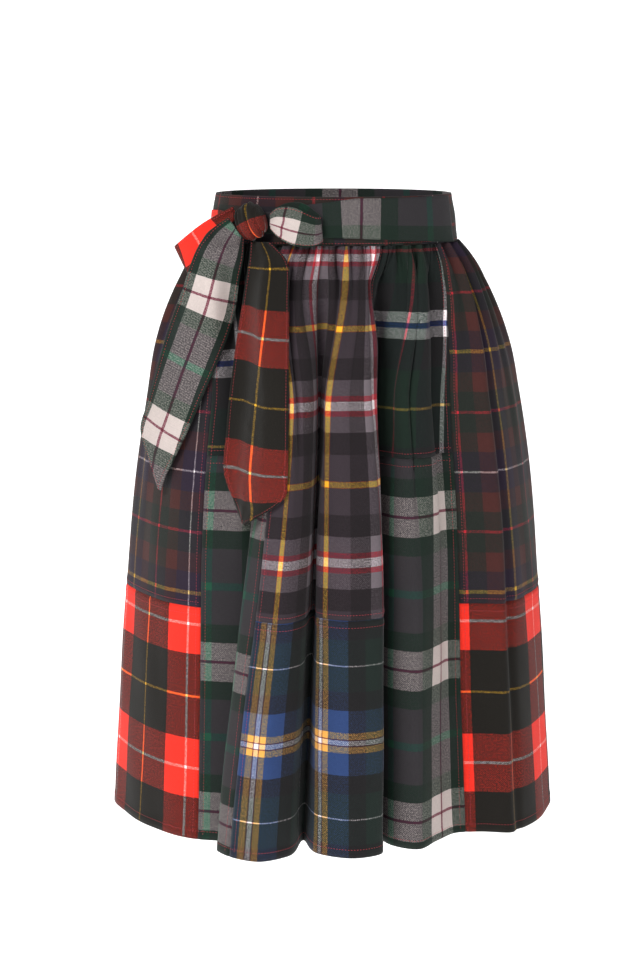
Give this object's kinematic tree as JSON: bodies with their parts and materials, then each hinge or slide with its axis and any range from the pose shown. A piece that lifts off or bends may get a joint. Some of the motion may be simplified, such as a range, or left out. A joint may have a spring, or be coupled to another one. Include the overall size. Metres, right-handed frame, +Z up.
{
  "type": "dirndl skirt",
  "caption": "Gathered patchwork tartan skirt on a waistband, with a two-coloured belt tied in a bow at one side and long slanted ends.",
  "frame": {"origin": "middle of the waistband's height, on the skirt's axis, where the wearer's waist holds it", "axes": "+Z up along the skirt's axis, the front with the bow faces -Y, +X to the viewer's right"},
  "size_m": [0.5014, 0.447, 0.6958],
  "materials": {
    "tartan_centre_upper": "woollen twill, checked in the weave, matt with a soft nap",
    "tartan_centre_lower": "woollen twill, checked in the weave, matt with a soft nap",
    "tartan_narrow_upper": "woollen twill, checked in the weave, matt with a soft nap",
    "tartan_narrow_lower": "woollen twill, checked in the weave, matt with a soft nap",
    "tartan_side_upper": "woollen twill, checked in the weave, matt with a soft nap",
    "tartan_side_lower": "woollen twill, checked in the weave, matt with a soft nap",
    "tartan_band": "woollen twill, checked in the weave, matt with a soft nap",
    "tartan_belt_green": "woollen twill, checked in the weave, matt with a soft nap",
    "tartan_belt_red": "woollen twill, checked in the weave, matt with a soft nap",
    "thread_red": "sewing thread, twisted"
  },
  "bodies": {
    "root": {"centre_front_upper": "tartan_centre_upper", "centre_front_lower": "tartan_centre_lower", "front_right_upper": "tartan_narrow_upper", "front_right_lower": "tartan_narrow_lower", "side_right_upper": "tartan_side_upper", "side_right_lower": "tartan_side_lower", "back_right_upper": "tartan_narrow_upper", "back_right_lower": "tartan_narrow_lower", "centre_back_upper": "tartan_centre_upper", "centre_back_lower": "tartan_centre_lower", "back_left_upper": "tartan_narrow_upper", "back_left_lower": "tartan_narrow_lower", "side_left_upper": "tartan_side_upper", "side_left_lower": "tartan_side_lower", "front_left_upper": "tartan_narrow_upper", "front_left_lower": "tartan_narrow_lower", "waistband": "tartan_band", "strap_right": "tartan_belt_green", "loop_right": "tartan_belt_green", "tie_left": "tartan_belt_green", "strap_left": "tartan_belt_red", "loop_left": "tartan_belt_red", "knot": "tartan_belt_red", "tie_lower": "tartan_belt_red"}
  },
  "joints": []
}
